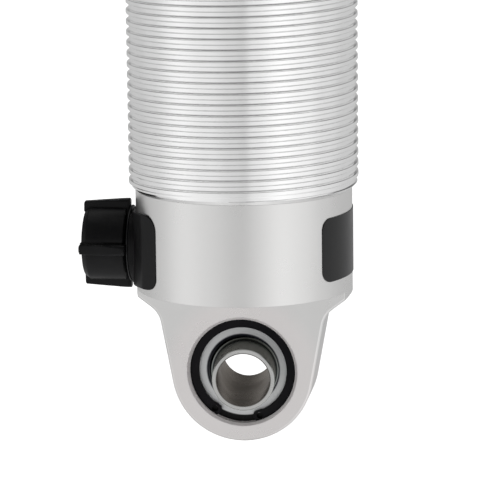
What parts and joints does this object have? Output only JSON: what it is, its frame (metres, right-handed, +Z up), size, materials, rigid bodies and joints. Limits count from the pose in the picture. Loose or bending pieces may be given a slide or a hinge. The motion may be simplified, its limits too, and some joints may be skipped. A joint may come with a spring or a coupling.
{
  "type": "coilover shock absorber",
  "caption": "Threaded-body coilover damper with a coil spring, ring nut and seat, spherical-bearing eyes at both ends and a ribbed damping knob on the base.",
  "frame": {"origin": "centre of the lower eye's bolt hole", "axes": "+Z up along the damper to the upper eye, Y along the eyes' bolts, knob on -X"},
  "size_m": [0.087, 0.087, 0.4564],
  "materials": {
    "machined_aluminium": "milled and turned, bare",
    "threaded_aluminium": "bright rolled thread",
    "spring_hardware": "turned, clear anodised",
    "spring_paint": "powder coat, satin",
    "bearing_steel": "ground",
    "polished_steel": "polished ball",
    "sleeve_steel": "turned, zinc plated",
    "hard_chrome": "hard chrome, ground",
    "black_spring_steel": "black oxide",
    "black_plastic": "moulded, satin",
    "black_anodised": "turned, black anodised",
    "bush_bronze": "turned bronze",
    "black_rubber": "moulded",
    "bump_foam": "microcellular foam",
    "band_plastic": "filled bearing strip"
  },
  "bodies": {
    "damper_body": {"base_eye": "machined_aluminium", "threaded_body": "threaded_aluminium", "body_oring": "black_rubber", "lower_race": "bearing_steel", "lower_snap_rings": "black_spring_steel", "foot_valve_body": "machined_aluminium", "foot_valve_disc": "bearing_steel", "foot_valve_spring": "bearing_steel", "foot_valve_rivet": "bearing_steel", "pressure_tube": "bearing_steel", "rod_guide": "machined_aluminium", "rod_guide_bush": "bush_bronze", "guide_oring": "black_rubber", "gland_nut": "machined_aluminium", "rod_seal": "black_rubber", "rod_wiper": "black_rubber", "adjuster_saddle": "black_plastic", "adjuster_gland": "black_anodised", "spindle_oring": "black_rubber", "detent_ball": "bearing_steel", "detent_spring": "bearing_steel"},
    "adjuster": {"adjuster_knob": "black_plastic", "adjuster_spindle": "bearing_steel", "knob_screw": "black_spring_steel"},
    "spring_hat": {"upper_spring_hat": "spring_hardware"},
    "rod_assembly": {"piston_rod": "hard_chrome", "piston": "machined_aluminium", "piston_band": "band_plastic", "rebound_shims": "bearing_steel", "compression_shims": "bearing_steel", "backing_washer": "bearing_steel", "piston_nut": "bearing_steel", "topout_bumper": "black_rubber", "bump_stop": "bump_foam", "bump_washer": "bearing_steel", "jam_nut": "bearing_steel", "upper_eye": "machined_aluminium", "upper_race": "bearing_steel", "upper_snap_rings": "black_spring_steel"},
    "spring_seat": {"lower_spring_seat": "spring_hardware", "coil_spring": "spring_paint"},
    "ring_nut": {"adjuster_nut": "spring_hardware", "nut_lock_screw": "black_spring_steel"},
    "lower_swivel": {"lower_ball": "polished_steel"},
    "lower_bolt_sleeve": {"lower_sleeve": "sleeve_steel"},
    "upper_swivel": {"upper_ball": "polished_steel"},
    "upper_bolt_sleeve": {"upper_sleeve": "sleeve_steel"}
  },
  "joints": [
    {"name": "rod_slide", "type": "slide", "parent": "damper_body", "child": "spring_hat", "axis": [0, 0, 1], "range_m": [-0.108, 0], "stiffness_N_per_m": 35000, "deforming": ["coil_spring"]},
    {"name": "rod_spin", "type": "hinge", "parent": "spring_hat", "child": "rod_assembly", "pos_m": [0, 0, 0.4222], "axis": [0, 0, 1], "continuous": true},
    {"name": "seat_travel", "type": "slide", "parent": "damper_body", "child": "spring_seat", "axis": [0, 0, 1], "range_m": [-0.0254, 0]},
    {"name": "nut_turn", "type": "hinge", "parent": "spring_seat", "child": "ring_nut", "pos_m": [0, 0, 0.115], "axis": [0, 0, 1], "range_deg": [-3600, 0]},
    {"name": "knob_turn", "type": "hinge", "parent": "damper_body", "child": "adjuster", "pos_m": [-0.0326, 0, 0.0298], "axis": [-1, 0, 0], "range_deg": [0, 270]},
    {"name": "lower_tilt", "type": "hinge", "parent": "damper_body", "child": "lower_swivel", "pos_m": [0, 0, 0], "axis": [0, 0, 1], "range_deg": [-15, 5]},
    {"name": "lower_spin", "type": "hinge", "parent": "lower_swivel", "child": "lower_bolt_sleeve", "pos_m": [0, 0, 0], "axis": [0.0872, -0.9962, 0], "continuous": true},
    {"name": "upper_tilt", "type": "hinge", "parent": "rod_assembly", "child": "upper_swivel", "pos_m": [0, 0, 0.4222], "axis": [0, 0, 1], "range_deg": [-10, 10]},
    {"name": "upper_spin", "type": "hinge", "parent": "upper_swivel", "child": "upper_bolt_sleeve", "pos_m": [0, 0, 0.4222], "axis": [0, -1, 0], "continuous": true}
  ],
  "couplings": [
    {"joint": "nut_turn", "follows": "seat_travel", "rad_per_m": 2473.7}
  ]
}
